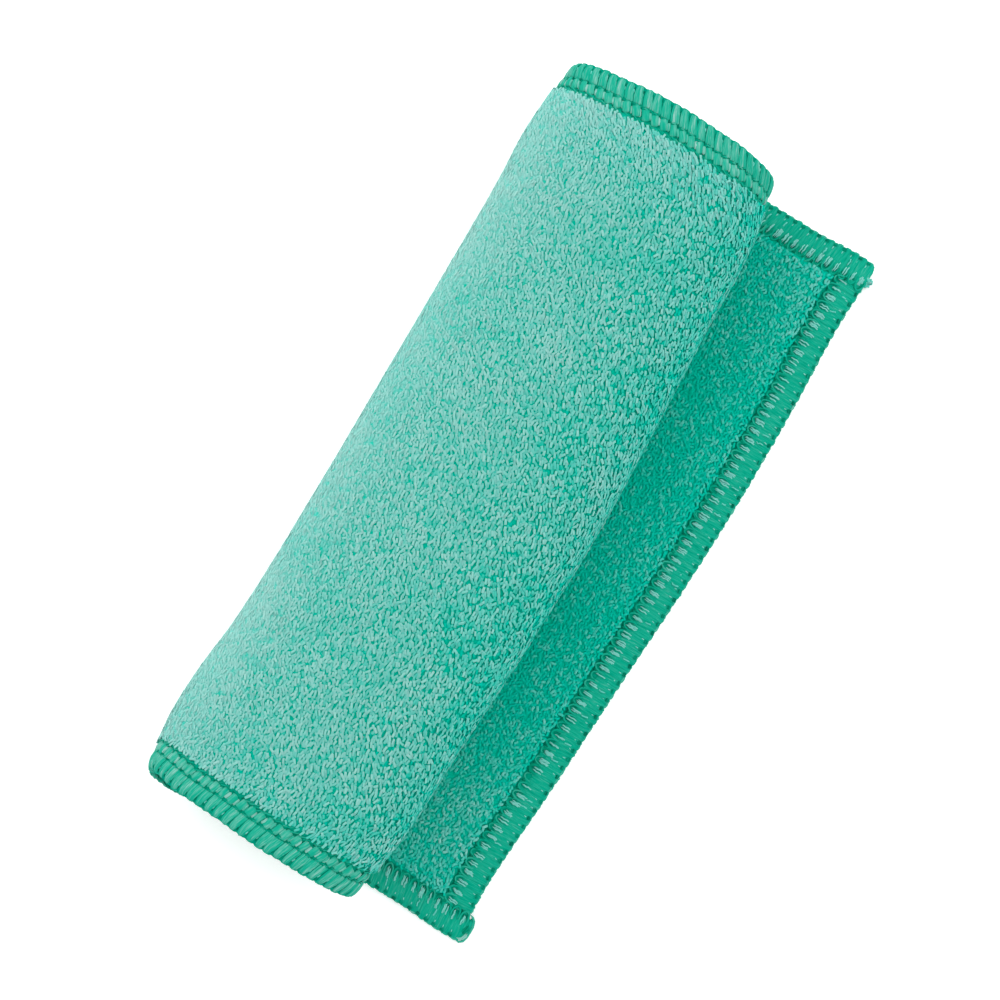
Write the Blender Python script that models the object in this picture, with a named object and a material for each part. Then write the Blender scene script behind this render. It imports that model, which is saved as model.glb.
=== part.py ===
"""A terry microfibre cloth with an overlocked edge, rolled up with one loose end lying flat.

One closed sheet, in metres, +Z up. The roll's axis runs along Y, and the loose end lies on the
ground towards +X. The sheet starts at the loose end, runs flat under the roll, climbs its left
side, crosses the top, comes down on the right and goes on winding inwards.
"""

import bpy
import numpy as np

# The cloth as it was cut.
CLOTH_WIDTH = 0.200          # across the cloth, along the roll's axis
PILE_THICKNESS = 0.0040      # the knit with its loops on both faces
BAND_THICKNESS = 0.0024      # the overlocked hem, where thread holds the edge flat
BAND_WIDTH = 0.0080          # how far the overlock reaches in from the edge
BAND_SLOPE = 0.0016          # the step from hem to pile
RIM_ROUNDING = 0.0012        # how far in the cut edge is rounded over
RIM_LEAST = 0.30             # share of the thickness left at the very edge

# The winding.
PITCH = 0.00555              # from one turn to the next: a thickness and a small gap
TURNS = 3.0                  # full turns, counted from the bottom of the roll
FIRST_RISE = 0.5 * np.pi     # angle over which the spiral starts to tighten
ROUNDNESS_TOP = 2.1          # power of the oval over the top; 2 is an ellipse
ROUNDNESS_BOTTOM = 2.7       # power of the oval underneath, which the weight flattens
TELESCOPE = -0.0015          # how far the inner turns have slid along the axis
TELESCOPE_FROM = 0.75        # turn where that slide starts
TELESCOPE_TO = 1.25          # turn where it is complete
FLAT_LIE = 0.12              # share of a turn over which the hem leaves the ground

# The roll at stations along its axis, in metres.
SHAPE_COLUMNS = ("y", "left", "right", "free_edge", "height")
SHAPE_ROWS = (
    (-0.100, -0.0448, 0.0146, 0.0434, 0.0368),
    (-0.085, -0.0472, 0.0174, 0.0428, 0.0372),
    (-0.060, -0.0452, 0.0184, 0.0440, 0.0368),
    (-0.020, -0.0449, 0.0197, 0.0455, 0.0366),
    (+0.005, -0.0453, 0.0198, 0.0466, 0.0366),
    (+0.035, -0.0458, 0.0184, 0.0471, 0.0368),
    (+0.060, -0.0463, 0.0168, 0.0466, 0.0370),
    (+0.085, -0.0469, 0.0153, 0.0456, 0.0373),
    (+0.100, -0.0454, 0.0118, 0.0463, 0.0370),
)

# How finely the solid is cut.
STEP_LENGTH = 0.0085         # longest step along a straight stretch of the sheet
STEP_BEND = np.radians(15)   # most that the sheet turns in a step, where it bends
CURVE_SAMPLES = 1500         # points on the exact curve from which the steps are read

CLOTH_COLOR = (0.10, 0.50, 0.41, 1.0)
CLOTH_ROUGHNESS = 0.95


def shape_at(column, y):
    """A column of SHAPE_ROWS at y: cubic pieces through the rows, with the rows' own slopes."""
    table = np.array(SHAPE_ROWS)
    rows_y = table[:, 0]
    values = table[:, SHAPE_COLUMNS.index(column)]
    slopes = np.gradient(values, rows_y)
    k = np.clip(np.searchsorted(rows_y, y) - 1, 0, len(rows_y) - 2)
    step = rows_y[k + 1] - rows_y[k]
    f = (y - rows_y[k]) / step
    rise_in = (f**3 - 2 * f**2 + f) * step
    rise_out = (f**3 - f**2) * step
    blend = 3 * f**2 - 2 * f**3
    return values[k] * (1 - blend) + values[k + 1] * blend + slopes[k] * rise_in + slopes[k + 1] * rise_out


def smooth_step(low, high, value):
    """Goes from 0 at low to 1 at high with level ends."""
    f = np.clip((value - low) / (high - low), 0.0, 1.0)
    return f * f * (3 - 2 * f)


def turns_wound(angle):
    """Turns counted for tightening: starts level at angle 0, then grows by one a turn."""
    early = angle**2 / (2 * FIRST_RISE)
    late = angle - FIRST_RISE / 2
    return np.where(angle < FIRST_RISE, early, late) / (2 * np.pi)


def oval_point(angle, y):
    """Centre of the sheet at a winding angle (0 at the bottom, then left, top, right) and station y.

    The radius is that of an oval |x/a|^m + |z/b|^m = 1, whose half width a and half height b
    shrink by the pitch a turn, and whose power m goes from the top's to the bottom's.
    """
    wound_left, wound_top, wound_right = PITCH * turns_wound(np.pi * np.array([0.5, 1.0, 1.5]))
    left = shape_at("left", y)
    width = shape_at("right", y) - left - PILE_THICKNESS
    half_width = (width + wound_left + wound_right) / 2
    half_height = (shape_at("height", y) - PILE_THICKNESS + wound_top) / 2
    centre_x = left + PILE_THICKNESS / 2 + half_width - wound_left
    centre_z = PILE_THICKNESS / 2 + half_height
    wound = PITCH * turns_wound(angle)
    power = ROUNDNESS_TOP + (ROUNDNESS_BOTTOM - ROUNDNESS_TOP) * (1 + np.cos(angle)) / 2
    across = (np.abs(np.sin(angle)) / (half_width - wound)) ** power
    upright = (np.abs(np.cos(angle)) / (half_height - wound)) ** power
    radius = (across + upright) ** (-1 / power)
    return centre_x - radius * np.sin(angle), centre_z - radius * np.cos(angle)


def sheet_line(y):
    """The sheet's centre line at station y, finely sampled: x, z, winding angle, length along it."""
    angle = np.linspace(0.0, 2 * np.pi * TURNS, CURVE_SAMPLES)
    x, z = oval_point(angle, y)
    edge = shape_at("free_edge", y)
    flat_x = np.linspace(edge, x[0], CURVE_SAMPLES // 8, endpoint=False)
    x = np.concatenate([flat_x, x])
    z = np.concatenate([np.full_like(flat_x, z[0]), z])
    angle = np.concatenate([np.zeros_like(flat_x), angle])
    length = np.concatenate([[0.0], np.cumsum(np.hypot(np.diff(x), np.diff(z)))])
    return x, z, angle, length


def edge_stations():
    """Distances in from an edge at which the rim, the hem and its step are cut."""
    return np.array([0.0, RIM_ROUNDING * 0.4, RIM_ROUNDING, BAND_WIDTH, BAND_WIDTH + BAND_SLOPE])


def stations_across():
    """Places across the cloth, from one side edge to the other."""
    near = edge_stations()
    rows = np.array([row[0] for row in SHAPE_ROWS])
    middle = rows[np.abs(rows) < CLOTH_WIDTH / 2 - near[-1] - BAND_WIDTH / 2]
    return np.concatenate([near - CLOTH_WIDTH / 2, middle, CLOTH_WIDTH / 2 - near[::-1]])


def stations_along(x, z, length):
    """Lengths along the sheet at which it is cut: both hems, and steps shared out by length and bend."""
    near = edge_stations()
    direction = np.unwrap(np.arctan2(np.gradient(z, length), np.gradient(x, length)))
    bend = np.concatenate([[0.0], np.cumsum(np.abs(np.diff(direction)))])
    effort = length / STEP_LENGTH + bend / STEP_BEND
    first = np.interp(near[-1], length, effort)
    last = np.interp(length[-1] - near[-1], length, effort)
    middle = np.interp(np.linspace(first, last, round(last - first) + 1), effort, length)
    return np.concatenate([near[:-1], middle, length[-1] - near[-2::-1]])


def half_thickness(from_side, from_end, on_ground):
    """Half thicknesses of the sheet: outer face (the ground's side) and inner face.

    Thin in the hem, full in the pile, rounded over at the rim. A hem that lies on the ground
    keeps its outer face down there, so all its thinness is on the inner face.
    """
    inset = np.minimum(from_side, from_end)
    pile = smooth_step(BAND_WIDTH, BAND_WIDTH + BAND_SLOPE, inset)
    thickness = BAND_THICKNESS + (PILE_THICKNESS - BAND_THICKNESS) * pile
    rim = np.clip(inset / RIM_ROUNDING, 0.0, 1.0)
    rim = RIM_LEAST + (1 - RIM_LEAST) * np.sqrt(1 - (1 - rim) ** 2)
    thin = (PILE_THICKNESS - thickness) / 2 * on_ground
    outer = thickness / 2 * rim + thin
    inner = thickness / 2 * rim - thin
    return outer, inner


def sheet_faces():
    """Points of the outer and the inner face, each as an array (along, across, 3)."""
    across = stations_across()
    x, z, angle, length = sheet_line(0.0)
    share = stations_along(x, z, length) / length[-1]
    outer_face = np.zeros((len(share), len(across), 3))
    inner_face = np.zeros_like(outer_face)
    for column, y in enumerate(across):
        x, z, angle, length = sheet_line(y)
        here = share * length[-1]
        px = np.interp(here, length, x)
        pz = np.interp(here, length, z)
        turn = np.interp(here, length, angle) / (2 * np.pi)
        tangent_x = np.interp(here, length, np.gradient(x, length))
        tangent_z = np.interp(here, length, np.gradient(z, length))
        size = np.hypot(tangent_x, tangent_z)
        out_x = -tangent_z / size
        out_z = tangent_x / size
        from_end = np.minimum(here, length[-1] - here)
        from_side = np.full_like(here, CLOTH_WIDTH / 2 - abs(y))
        on_ground = 1 - smooth_step(0.0, FLAT_LIE, turn)
        outer, inner = half_thickness(from_side, from_end, on_ground)
        slid = TELESCOPE * smooth_step(TELESCOPE_FROM, TELESCOPE_TO, turn)
        for face, offset in ((outer_face, outer), (inner_face, -inner)):
            face[:, column, 0] = px + out_x * offset
            face[:, column, 1] = y + slid
            face[:, column, 2] = pz + out_z * offset
    return outer_face, inner_face


def sheet_mesh():
    """The closed sheet: both faces as grids, joined round their border by the rim."""
    outer_face, inner_face = sheet_faces()
    points = np.concatenate([outer_face.reshape(-1, 3), inner_face.reshape(-1, 3)])
    low = points.min(axis=0)
    high = points.max(axis=0)
    points -= ((low[0] + high[0]) / 2, (low[1] + high[1]) / 2, low[2])

    along, across = outer_face.shape[:2]
    number = np.arange(along * across).reshape(along, across)
    inner_from = along * across
    cells = (number[:-1, :-1], number[1:, :-1], number[1:, 1:], number[:-1, 1:])
    outer_quads = np.stack(cells, axis=-1).reshape(-1, 4)
    inner_quads = outer_quads[:, ::-1] + inner_from
    border = np.concatenate([number[:-1, 0], number[-1, :-1], number[:0:-1, -1], number[0, :0:-1]])
    next_on_border = np.roll(border, -1)
    rim_cells = (border + inner_from, next_on_border + inner_from, next_on_border, border)
    rim_quads = np.stack(rim_cells, axis=-1)

    mesh = bpy.data.meshes.new("cloth")
    quads = np.concatenate([outer_quads, inner_quads, rim_quads])
    mesh.from_pydata(points.tolist(), [], quads.tolist())
    mesh.validate()
    mesh.shade_smooth()
    return mesh


def cloth_material():
    """Mint green split polyester and polyamide yarn: matt, no metal."""
    material = bpy.data.materials.new("microfibre terry")
    material.use_nodes = True
    shader = material.node_tree.nodes["Principled BSDF"]
    shader.inputs["Base Color"].default_value = CLOTH_COLOR
    shader.inputs["Roughness"].default_value = CLOTH_ROUGHNESS
    shader.inputs["Metallic"].default_value = 0.0
    return material


def main():
    """Clears the scene and puts the rolled cloth in it, standing on the ground."""
    for old in list(bpy.data.objects):
        bpy.data.objects.remove(old, do_unlink=True)
    cloth = bpy.data.objects.new("cloth", sheet_mesh())
    cloth.data.materials.append(cloth_material())
    bpy.context.scene.collection.objects.link(cloth)


main()
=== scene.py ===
# %% [markdown]
# # A rolled microfibre cloth
#
# The real thing is one rectangle of looped knit, 200 mm by 400 mm, with an overlock seam of
# thread round its edge. It is rolled up from one end, and the last 27 mm lie flat beside the
# roll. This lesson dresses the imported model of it: a thin knitted ground on the same winding,
# thousands of yarn loops standing on that ground, and the seam drawn thread by thread.

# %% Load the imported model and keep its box
import bpy
import numpy as np
from mathutils import Matrix, Vector


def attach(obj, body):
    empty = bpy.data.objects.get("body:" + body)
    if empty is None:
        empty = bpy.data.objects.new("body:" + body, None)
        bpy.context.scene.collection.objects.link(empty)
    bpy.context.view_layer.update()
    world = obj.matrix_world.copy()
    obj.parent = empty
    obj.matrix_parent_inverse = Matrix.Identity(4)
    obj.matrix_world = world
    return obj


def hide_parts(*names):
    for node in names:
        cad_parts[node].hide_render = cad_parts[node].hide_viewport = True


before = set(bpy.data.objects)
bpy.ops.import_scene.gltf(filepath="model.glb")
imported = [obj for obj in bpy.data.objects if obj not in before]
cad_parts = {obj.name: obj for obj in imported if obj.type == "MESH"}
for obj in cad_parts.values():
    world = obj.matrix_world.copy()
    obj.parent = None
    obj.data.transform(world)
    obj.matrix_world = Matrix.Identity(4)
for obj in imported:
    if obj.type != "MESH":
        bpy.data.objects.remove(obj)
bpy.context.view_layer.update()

MM = 0.001

# %% [markdown]
# ## Camera
#
# The photograph looks almost straight down. The roll's axis runs up and to the right in the
# picture, so the camera is turned about its own view line instead of the cloth. The roll's top
# shows 7.5 % longer than the loose end below it, and that ratio sets the camera's distance.

# %% Camera over the cloth
PICTURE_SIDE = 1000               # pixels, the frame that the focal length refers to
FOCAL_PIXELS = 1866
SENSOR_MM = 36.0
NEAREST_SEEN = 0.01
CAMERA_PLACE = Vector((-0.0050, -0.0164, 0.4750))
CAMERA_AIM = Vector((-0.0050, 0.0007, 0.0040))
AXIS_IN_PICTURE = Vector((0.5206, 0.8538))    # where +Y points in the picture: right, up

camera_data = bpy.data.cameras.new("camera")
camera_data.sensor_width = SENSOR_MM
camera_data.lens = FOCAL_PIXELS / PICTURE_SIDE * SENSOR_MM
camera_data.clip_start = NEAREST_SEEN
camera = bpy.data.objects.new("camera", camera_data)
back = (CAMERA_PLACE - CAMERA_AIM).normalized()
up = Vector((-AXIS_IN_PICTURE.x, AXIS_IN_PICTURE.y, 0.0))
up = (up - up.dot(back) * back).normalized()
right = up.cross(back)
camera.matrix_world = Matrix.Translation(CAMERA_PLACE) @ Matrix((right, up, back)).transposed().to_4x4()
bpy.context.scene.collection.objects.link(camera)
bpy.context.scene.camera = camera
print("lens, mm:", round(camera_data.lens, 1))

# %% [markdown]
# ## The winding
#
# A rolled cloth is a spiral of one thin sheet. Here the spiral is an oval whose width and height
# shrink by one pitch a turn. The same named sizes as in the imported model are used, so that the
# finished cloth lies exactly on it. `along` runs from the loose end to the core, and `across`
# runs along the roll's axis.

# %% Sizes of the cloth and of its winding
CLOTH_WIDTH = 0.200               # along the roll's axis
CLOTH_LENGTH = 0.400              # from the loose end to the core
PILE_THICKNESS = 0.0040           # the knit with its loops on both faces
BAND_THICKNESS = 0.0024           # the hem, a thinner band
BAND_WIDTH = 0.0080
BAND_SLOPE = 0.0016               # the pile rises to its full height over this width
PITCH = 0.00555                   # how much nearer to the middle each turn comes
TURNS = 3.0
FIRST_RISE = 0.5 * np.pi          # the pitch starts gently over this angle
ROUNDNESS_TOP = 2.1               # the oval's power: 2 is an ellipse, and more is squarer
ROUNDNESS_BOTTOM = 2.7
TELESCOPE = -0.0015               # the core slides this far along the roll
TELESCOPE_FROM = 0.75             # between these two turns
TELESCOPE_TO = 1.25
FLAT_LIE = 0.12                   # the hem lies down on the table before this turn
CURVE_SAMPLES = 1500              # points on the round part of the sheet's line
FLAT_SAMPLES = CURVE_SAMPLES // 8

SHAPE_COLUMNS = ("y", "left", "right", "free_edge", "height")
SHAPE_ROWS = (
    (-0.100, -0.0448, 0.0146, 0.0434, 0.0368),
    (-0.085, -0.0472, 0.0174, 0.0428, 0.0372),
    (-0.060, -0.0452, 0.0184, 0.0440, 0.0368),
    (-0.020, -0.0449, 0.0197, 0.0455, 0.0366),
    (+0.005, -0.0453, 0.0198, 0.0466, 0.0366),
    (+0.035, -0.0458, 0.0184, 0.0471, 0.0368),
    (+0.060, -0.0463, 0.0168, 0.0466, 0.0370),
    (+0.085, -0.0469, 0.0153, 0.0456, 0.0373),
    (+0.100, -0.0454, 0.0118, 0.0463, 0.0370),
)


def shape_at(column, y):
    """A column of SHAPE_ROWS at y: cubic pieces through the rows, with the rows' own slopes."""
    table = np.array(SHAPE_ROWS)
    rows_y = table[:, 0]
    values = table[:, SHAPE_COLUMNS.index(column)]
    slopes = np.gradient(values, rows_y)
    k = np.clip(np.searchsorted(rows_y, y) - 1, 0, len(rows_y) - 2)
    step = rows_y[k + 1] - rows_y[k]
    f = (y - rows_y[k]) / step
    rise_in = (f**3 - 2 * f**2 + f) * step
    rise_out = (f**3 - f**2) * step
    blend = 3 * f**2 - 2 * f**3
    return values[k] * (1 - blend) + values[k + 1] * blend + slopes[k] * rise_in + slopes[k + 1] * rise_out


def smooth_step(low, high, value):
    """Goes from 0 at low to 1 at high with level ends: 3f^2 - 2f^3."""
    f = np.clip((value - low) / (high - low), 0.0, 1.0)
    return f * f * (3 - 2 * f)


def turns_wound(angle):
    """Turns counted for tightening: starts level at angle 0, then grows by one a turn."""
    early = angle**2 / (2 * FIRST_RISE)
    late = angle - FIRST_RISE / 2
    return np.where(angle < FIRST_RISE, early, late) / (2 * np.pi)


def oval_point(angle, y):
    """Centre of the sheet at a winding angle (0 at the bottom, then left, top, right) and station y.

    The radius is that of an oval |x/a|^m + |z/b|^m = 1, whose half width a and half height b
    shrink by the pitch a turn, and whose power m goes from the top's to the bottom's.
    """
    wound_left, wound_top, wound_right = PITCH * turns_wound(np.pi * np.array([0.5, 1.0, 1.5]))
    left = shape_at("left", y)
    width = shape_at("right", y) - left - PILE_THICKNESS
    half_width = (width + wound_left + wound_right) / 2
    half_height = (shape_at("height", y) - PILE_THICKNESS + wound_top) / 2
    centre_x = left + PILE_THICKNESS / 2 + half_width - wound_left
    centre_z = PILE_THICKNESS / 2 + half_height
    wound = PITCH * turns_wound(angle)
    power = ROUNDNESS_TOP + (ROUNDNESS_BOTTOM - ROUNDNESS_TOP) * (1 + np.cos(angle)) / 2
    across = (np.abs(np.sin(angle)) / (half_width - wound)) ** power
    upright = (np.abs(np.cos(angle)) / (half_height - wound)) ** power
    radius = (across + upright) ** (-1 / power)
    return centre_x - radius * np.sin(angle), centre_z - radius * np.cos(angle)


def sheet_line(y):
    """The sheet's centre line at station y, finely sampled: x, z, winding angle, length along it."""
    angle = np.linspace(0.0, 2 * np.pi * TURNS, CURVE_SAMPLES)
    x, z = oval_point(angle, y)
    flat_x = np.linspace(shape_at("free_edge", y), x[0], FLAT_SAMPLES, endpoint=False)
    x = np.concatenate([flat_x, x])
    z = np.concatenate([np.full_like(flat_x, z[0]), z])
    angle = np.concatenate([np.zeros_like(flat_x), angle])
    length = np.concatenate([[0.0], np.cumsum(np.hypot(np.diff(x), np.diff(z)))])
    return x, z, angle, length


print("length of the sheet at the roll's middle, mm:", round(sheet_line(0.0)[3][-1] / MM, 1))

# %% [markdown]
# Everything on the cloth is placed by two cloth coordinates and a height above its middle, so
# the winding is worked out once on a fine grid and read from there. A normal comes from the
# cross product of the grid's two directions, and points to the outer face: down on the loose
# end, and out all round the roll.

# %% A fine grid of the cloth's middle surface
GRID_ALONG = 1601
GRID_ACROSS = 201


def sheet_grid():
    """Middle points, outward normals and winding turns on an even grid of cloth coordinates."""
    y = np.linspace(-CLOTH_WIDTH / 2, CLOTH_WIDTH / 2, GRID_ACROSS)
    share = np.linspace(0.0, 1.0, GRID_ALONG)
    middle = np.zeros((GRID_ALONG, GRID_ACROSS, 3))
    turn = np.zeros((GRID_ALONG, GRID_ACROSS))
    for column in range(GRID_ACROSS):
        x, z, angle, length = sheet_line(y[column])
        here = share * length[-1]
        turn[:, column] = np.interp(here, length, angle) / (2 * np.pi)
        middle[:, column, 0] = np.interp(here, length, x)
        middle[:, column, 2] = np.interp(here, length, z)
    slid = TELESCOPE * smooth_step(TELESCOPE_FROM, TELESCOPE_TO, turn)
    middle[:, :, 1] = y + slid
    normal = np.cross(np.gradient(middle, axis=0), np.gradient(middle, axis=1))
    normal /= np.linalg.norm(normal, axis=2, keepdims=True)
    return middle, normal, turn


grid_middle, grid_normal, grid_turn = sheet_grid()
both_faces = (np.array([-0.5, 0.5]) * PILE_THICKNESS)[:, None]
full_pile = grid_middle[..., None, :] + grid_normal[..., None, :] * both_faces
pile_low = full_pile.min(axis=(0, 1, 2))
pile_high = full_pile.max(axis=(0, 1, 2))
box_centre = (pile_low + pile_high) / 2
grid_middle -= (box_centre[0], box_centre[1], 0.0)
print("box of the winding, mm:", np.round(1000 * (pile_high - pile_low), 1))

# %% [markdown]
# A hem never runs dead straight. This one drifts in and out along the roll's ends, by up to
# 4.5 mm where it stands out at the near end of the roll's left. In places it flares away from
# the roll, and the cloth behind it draws in to a neck. Noise would do this somewhere else than
# on the real cloth, so three tables say it, and the grid is pushed by them once.

# %% How the hem drifts, flares and necks
# Each row: mm from the loose end, then mm of push at the far hem and at the near hem. HEM_ROWS push
# away from the cloth's middle along the roll's axis, and the other two out of the cloth's face.
HEM_ROWS = ((0, 1.4, 0.5), (4, 1.45, 0.65), (8, 1.55, 0.6), (12, 1.25, 0.3), (16, 0.95, 0.1), (20, 0.9, 0),
            (40, 0.85, 0), (68, 0.3, 0), (76, 0.1, 2.2), (80, 0, 4.1), (84, 0, 4.5), (88, 0, 4.2),
            (92, 0, 3.2), (96, 0, 2.3), (100, 0, 0.6), (104, 0, -0.8), (108, 0, -1.05), (112, 0.1, -1.05),
            (116, 0.15, -0.7), (119, 0.2, -0.65), (127, 0.25, -0.8), (132, 0.65, -0.45), (138, 1, -0.1),
            (144, 1.2, 0.15), (151, 1.15, 0.4), (157, 1.3, 0.6), (162, 1.5, 0.8), (168, 1.3, 1),
            (176, 1, 1), (184, 0.7, 0.8), (200, 0.5, 0.3), (212, 0.2, 0), (225, 0, -1.25))
FLARE_ROWS = ((80, 0, 0), (90, 0.8, 0), (98, 0.9, 0.1), (104, 0.9, 0.45), (108, 0.8, 0.45), (116, 0.4, 0.2),
              (124, 0, 0), (166, 0, 0.2), (171, 0.15, 0.6), (176, 0.7, 0.6), (184, 0.8, 0.6),
              (190, 0.3, 0.2), (196, 0, 0))
NECK_ROWS = ((88, 0, 0), (94, 0.35, -0.55), (100, 0.4, -0.8), (108, 0.3, -0.8), (116, 0, -0.4), (124, 0, 0))
# A push grows from the first of these distances from the middle to the second, and a neck's goes again.
HEM_FADE = (0.065, 0.098)
FLARE_FADE = (0.086, 0.099)
NECK_FADE = (0.066, 0.082, 0.088, 0.097)


def pile_share(along, across):
    """0 on the hem, 1 where the pile stands at full height, by the distance in from the nearest edge."""
    inset = np.minimum(np.minimum(along, CLOTH_LENGTH - along), CLOTH_WIDTH / 2 - np.abs(across))
    return smooth_step(BAND_WIDTH, BAND_WIDTH + BAND_SLOPE, inset)


def hem_push(table, fade, along, across):
    """A table's push near each hem, in metres: straight lines between its rows, times the fade's share."""
    rows = np.array(table)
    far = np.interp(along / MM, rows[:, 0], rows[:, 1])
    near = np.interp(along / MM, rows[:, 0], rows[:, 2])
    share = smooth_step(fade[0], fade[1], np.abs(across))
    if len(fade) == 4:
        share = share * (1 - smooth_step(fade[2], fade[3], np.abs(across)))
    return np.where(across > 0, far, near) * MM * share


grid_along = np.linspace(0.0, CLOTH_LENGTH, GRID_ALONG)[:, None]
grid_across = np.linspace(-CLOTH_WIDTH / 2, CLOTH_WIDTH / 2, GRID_ACROSS)[None, :]
hem_on_ground = (1 - pile_share(grid_along, grid_across)) * (1 - smooth_step(0.0, FLAT_LIE, grid_turn))
grid_middle += grid_normal * (hem_on_ground * (PILE_THICKNESS - BAND_THICKNESS) / 2)[..., None]
drift = hem_push(HEM_ROWS, HEM_FADE, grid_along, grid_across)
grid_middle[:, :, 1] += np.sign(grid_across) * drift
grid_middle += grid_normal * hem_push(FLARE_ROWS, FLARE_FADE, grid_along, grid_across)[..., None]
grid_middle += grid_normal * hem_push(NECK_ROWS, NECK_FADE, grid_along, grid_across)[..., None]
print("hem's drift, mm:", round(drift.min() / MM, 2), "to", round(drift.max() / MM, 2))

# %% [markdown]
# The loose end is sewn round at its far corner. Instead of a grid of its own, the corner is
# made when a place is looked up: a place in the corner's square moves on to the circle.

# %% Reading a place on the cloth
CORNER_RADIUS = 0.0022


def between(values, i0, j0, fi, fj):
    """A grid's value inside the cell that starts at i0, j0: straight lines by the shares fi and fj."""
    low = values[i0, j0] * (1 - fj) + values[i0, j0 + 1] * fj
    high = values[i0 + 1, j0] * (1 - fj) + values[i0 + 1, j0 + 1] * fj
    return low * (1 - fi) + high * fi


def read_grid(values, along, across):
    """Reads a grid at cloth coordinates; past an edge it goes on in the same straight line."""
    i = np.asarray(along) / CLOTH_LENGTH * (GRID_ALONG - 1)
    j = (np.asarray(across) / CLOTH_WIDTH + 0.5) * (GRID_ACROSS - 1)
    i0 = np.clip(np.floor(i).astype(int), 0, GRID_ALONG - 2)
    j0 = np.clip(np.floor(j).astype(int), 0, GRID_ACROSS - 2)
    fi = i - i0
    fj = j - j0
    if values.ndim == 3:
        fi = fi[..., None]
        fj = fj[..., None]
    return between(values, i0, j0, fi, fj)


def round_corner(along, across):
    """Near the far corner, draws each square centred CORNER_RADIUS in from it to the circle inside it."""
    p = CORNER_RADIUS - along
    q = across - (CLOTH_WIDTH / 2 - CORNER_RADIUS)
    inside = (p > 0) & (q > 0)
    shrink = np.where(inside, np.maximum(p, q) / (np.hypot(p, q) + 1e-12), 1.0)
    return CORNER_RADIUS - p * shrink, CLOTH_WIDTH / 2 - CORNER_RADIUS + q * shrink


def on_cloth(along, across, height):
    """Point at cloth coordinates and a height above the middle (plus is outwards), and the normal."""
    along, across = round_corner(np.asarray(along), np.asarray(across))
    normal = read_grid(grid_normal, along, across)
    normal /= np.linalg.norm(normal, axis=-1, keepdims=True)
    return read_grid(grid_middle, along, across) + normal * np.asarray(height)[..., None], normal


print("far corner of the loose end, mm:", np.round(on_cloth(0.0, CLOTH_WIDTH / 2, 0.0)[0] / MM, 1))

# %% [markdown]
# ## Making a mesh
#
# Two helpers are enough. One puts points and faces in a mesh, with the attributes that the
# materials read. The other carries a small ring along many paths at once, which makes every
# yarn loop and every thread of the seam. Both ends of a path close to a point.

# %% Helpers for meshes and for threads
GROUND_CLEAR = 0.02 * MM          # nothing reaches lower than this above the table
SOFT_NORMALS = 0.5                # how far a yarn's shading leans to its top, as light passes through it
TOP_LEADS = 1.02                  # the top's share is a touch more, so that no two shares cancel out


def new_piece(name, points, faces, materials, attributes, face_slots=None, normals=None):
    """A smooth mesh object from arrays: faces is a list of arrays of equal-sized polygons.

    attributes holds a number for each point under each name. Given normals replace those that
    follow from the faces.
    """
    points = np.array(points, dtype=float)
    points[:, 2] = np.maximum(points[:, 2], GROUND_CLEAR)
    corners = np.concatenate([f.ravel() for f in faces]).astype(np.int32)
    sizes = np.concatenate([np.full(len(f), f.shape[1]) for f in faces]).astype(np.int32)
    starts = np.concatenate([[0], np.cumsum(sizes)[:-1]]).astype(np.int32)
    mesh = bpy.data.meshes.new(name)
    mesh.vertices.add(len(points))
    mesh.vertices.foreach_set("co", points.astype(np.float32).ravel())
    mesh.loops.add(len(corners))
    mesh.loops.foreach_set("vertex_index", corners)
    mesh.polygons.add(len(sizes))
    mesh.polygons.foreach_set("loop_start", starts)
    for key, values in attributes.items():
        layer = mesh.attributes.new(key, "FLOAT", "POINT")
        layer.data.foreach_set("value", np.asarray(values, dtype=np.float32).ravel())
    for material in materials:
        mesh.materials.append(material)
    if face_slots is not None:
        mesh.polygons.foreach_set("material_index", np.asarray(face_slots, dtype=np.int32))
    mesh.update(calc_edges=True)
    mesh.validate()
    mesh.shade_smooth()
    if normals is not None:
        mesh.normals_split_custom_set_from_vertices(normals / np.linalg.norm(normals, axis=1, keepdims=True))
    piece = bpy.data.objects.new(name, mesh)
    bpy.context.scene.collection.objects.link(piece)
    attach(piece, "root")
    print(name, "triangles:", int((sizes - 2).sum()))
    return piece


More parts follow.
